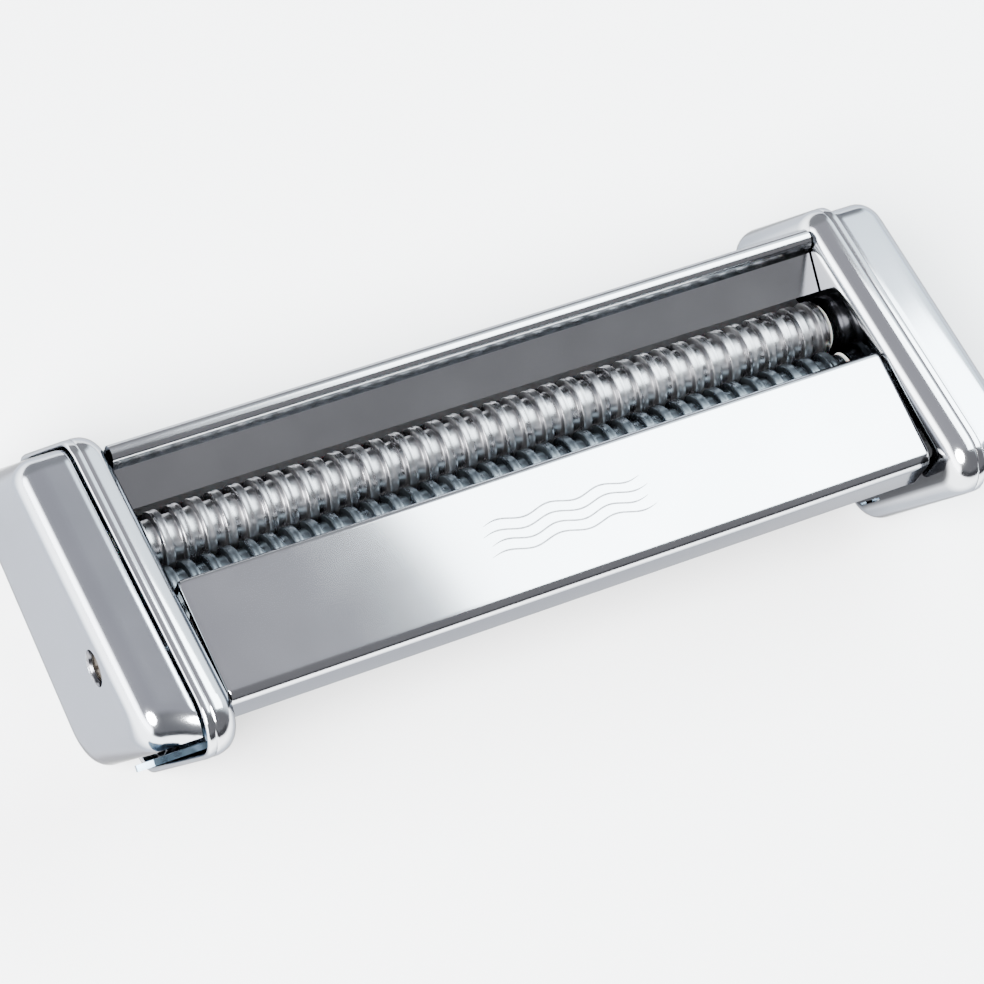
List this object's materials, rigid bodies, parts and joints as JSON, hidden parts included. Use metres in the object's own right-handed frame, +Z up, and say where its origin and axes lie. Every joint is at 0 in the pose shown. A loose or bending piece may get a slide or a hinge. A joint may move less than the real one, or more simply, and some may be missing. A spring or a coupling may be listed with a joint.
{
  "type": "pasta cutter attachment",
  "caption": "Hand-cranked pasta cutter attachment: meshed ringed rollers between chromed end plates, with guide covers, strippers, spur gears and a crank socket.",
  "frame": {"origin": "middle of the overall box at the level of the surface the attachment stands on", "axes": "+X along the rollers towards the crank end, +Y to the back, +Z up"},
  "size_m": [0.1898, 0.0767, 0.0466],
  "materials": {
    "chromed_sheet": "mirror-polished chromium plate on pressed steel sheet",
    "chromed_cap": "polished chromium plate on a pressed steel cap",
    "zinc_plate": "blue zinc-plated steel",
    "roller_metal": "turned and anodised aluminium, satin",
    "bright_steel": "bright drawn steel",
    "gear_steel": "machined steel, lightly oiled",
    "spring_steel": "hardened spring steel",
    "fastener": "nickel-plated steel screw",
    "nylon": "natural food-grade nylon"
  },
  "bodies": {
    "frame": {"left_end_plate": "chromed_sheet", "right_end_plate": "chromed_sheet", "left_bearing_plate": "zinc_plate", "right_bearing_plate": "zinc_plate", "left_end_cap": "chromed_cap", "right_end_cap": "chromed_cap", "front_cover": "chromed_sheet", "rear_guide": "chromed_sheet", "front_comb": "nylon", "rear_comb": "nylon", "front_tie_rod": "bright_steel", "rear_tie_rod": "bright_steel", "tie_rod_screws": "fastener", "left_drive_bush": "nylon", "right_drive_bush": "nylon", "left_idler_bush": "nylon", "right_idler_bush": "nylon", "left_cap_post": "bright_steel", "right_cap_post": "bright_steel", "left_cap_screw": "fastener", "right_cap_screw": "fastener"},
    "drive_unit": {"drive_shaft": "bright_steel", "drive_roller": "roller_metal", "drive_gear": "gear_steel", "drive_gear_key": "bright_steel", "drive_clips": "spring_steel", "crank_socket": "gear_steel", "crank_socket_pin": "bright_steel"},
    "idler_unit": {"idler_shaft": "bright_steel", "idler_roller": "roller_metal", "idler_gear": "gear_steel", "idler_gear_key": "bright_steel", "idler_clips": "spring_steel"}
  },
  "joints": [
    {"name": "drive_spin", "type": "hinge", "parent": "frame", "child": "drive_unit", "pos_m": [0, 0.0083, 0.0234], "axis": [1, 0, 0], "continuous": true},
    {"name": "idler_spin", "type": "hinge", "parent": "frame", "child": "idler_unit", "pos_m": [0, -0.0029, 0.0234], "axis": [1, 0, 0], "continuous": true}
  ],
  "couplings": [
    {"joint": "idler_spin", "follows": "drive_spin", "ratio": -1}
  ]
}
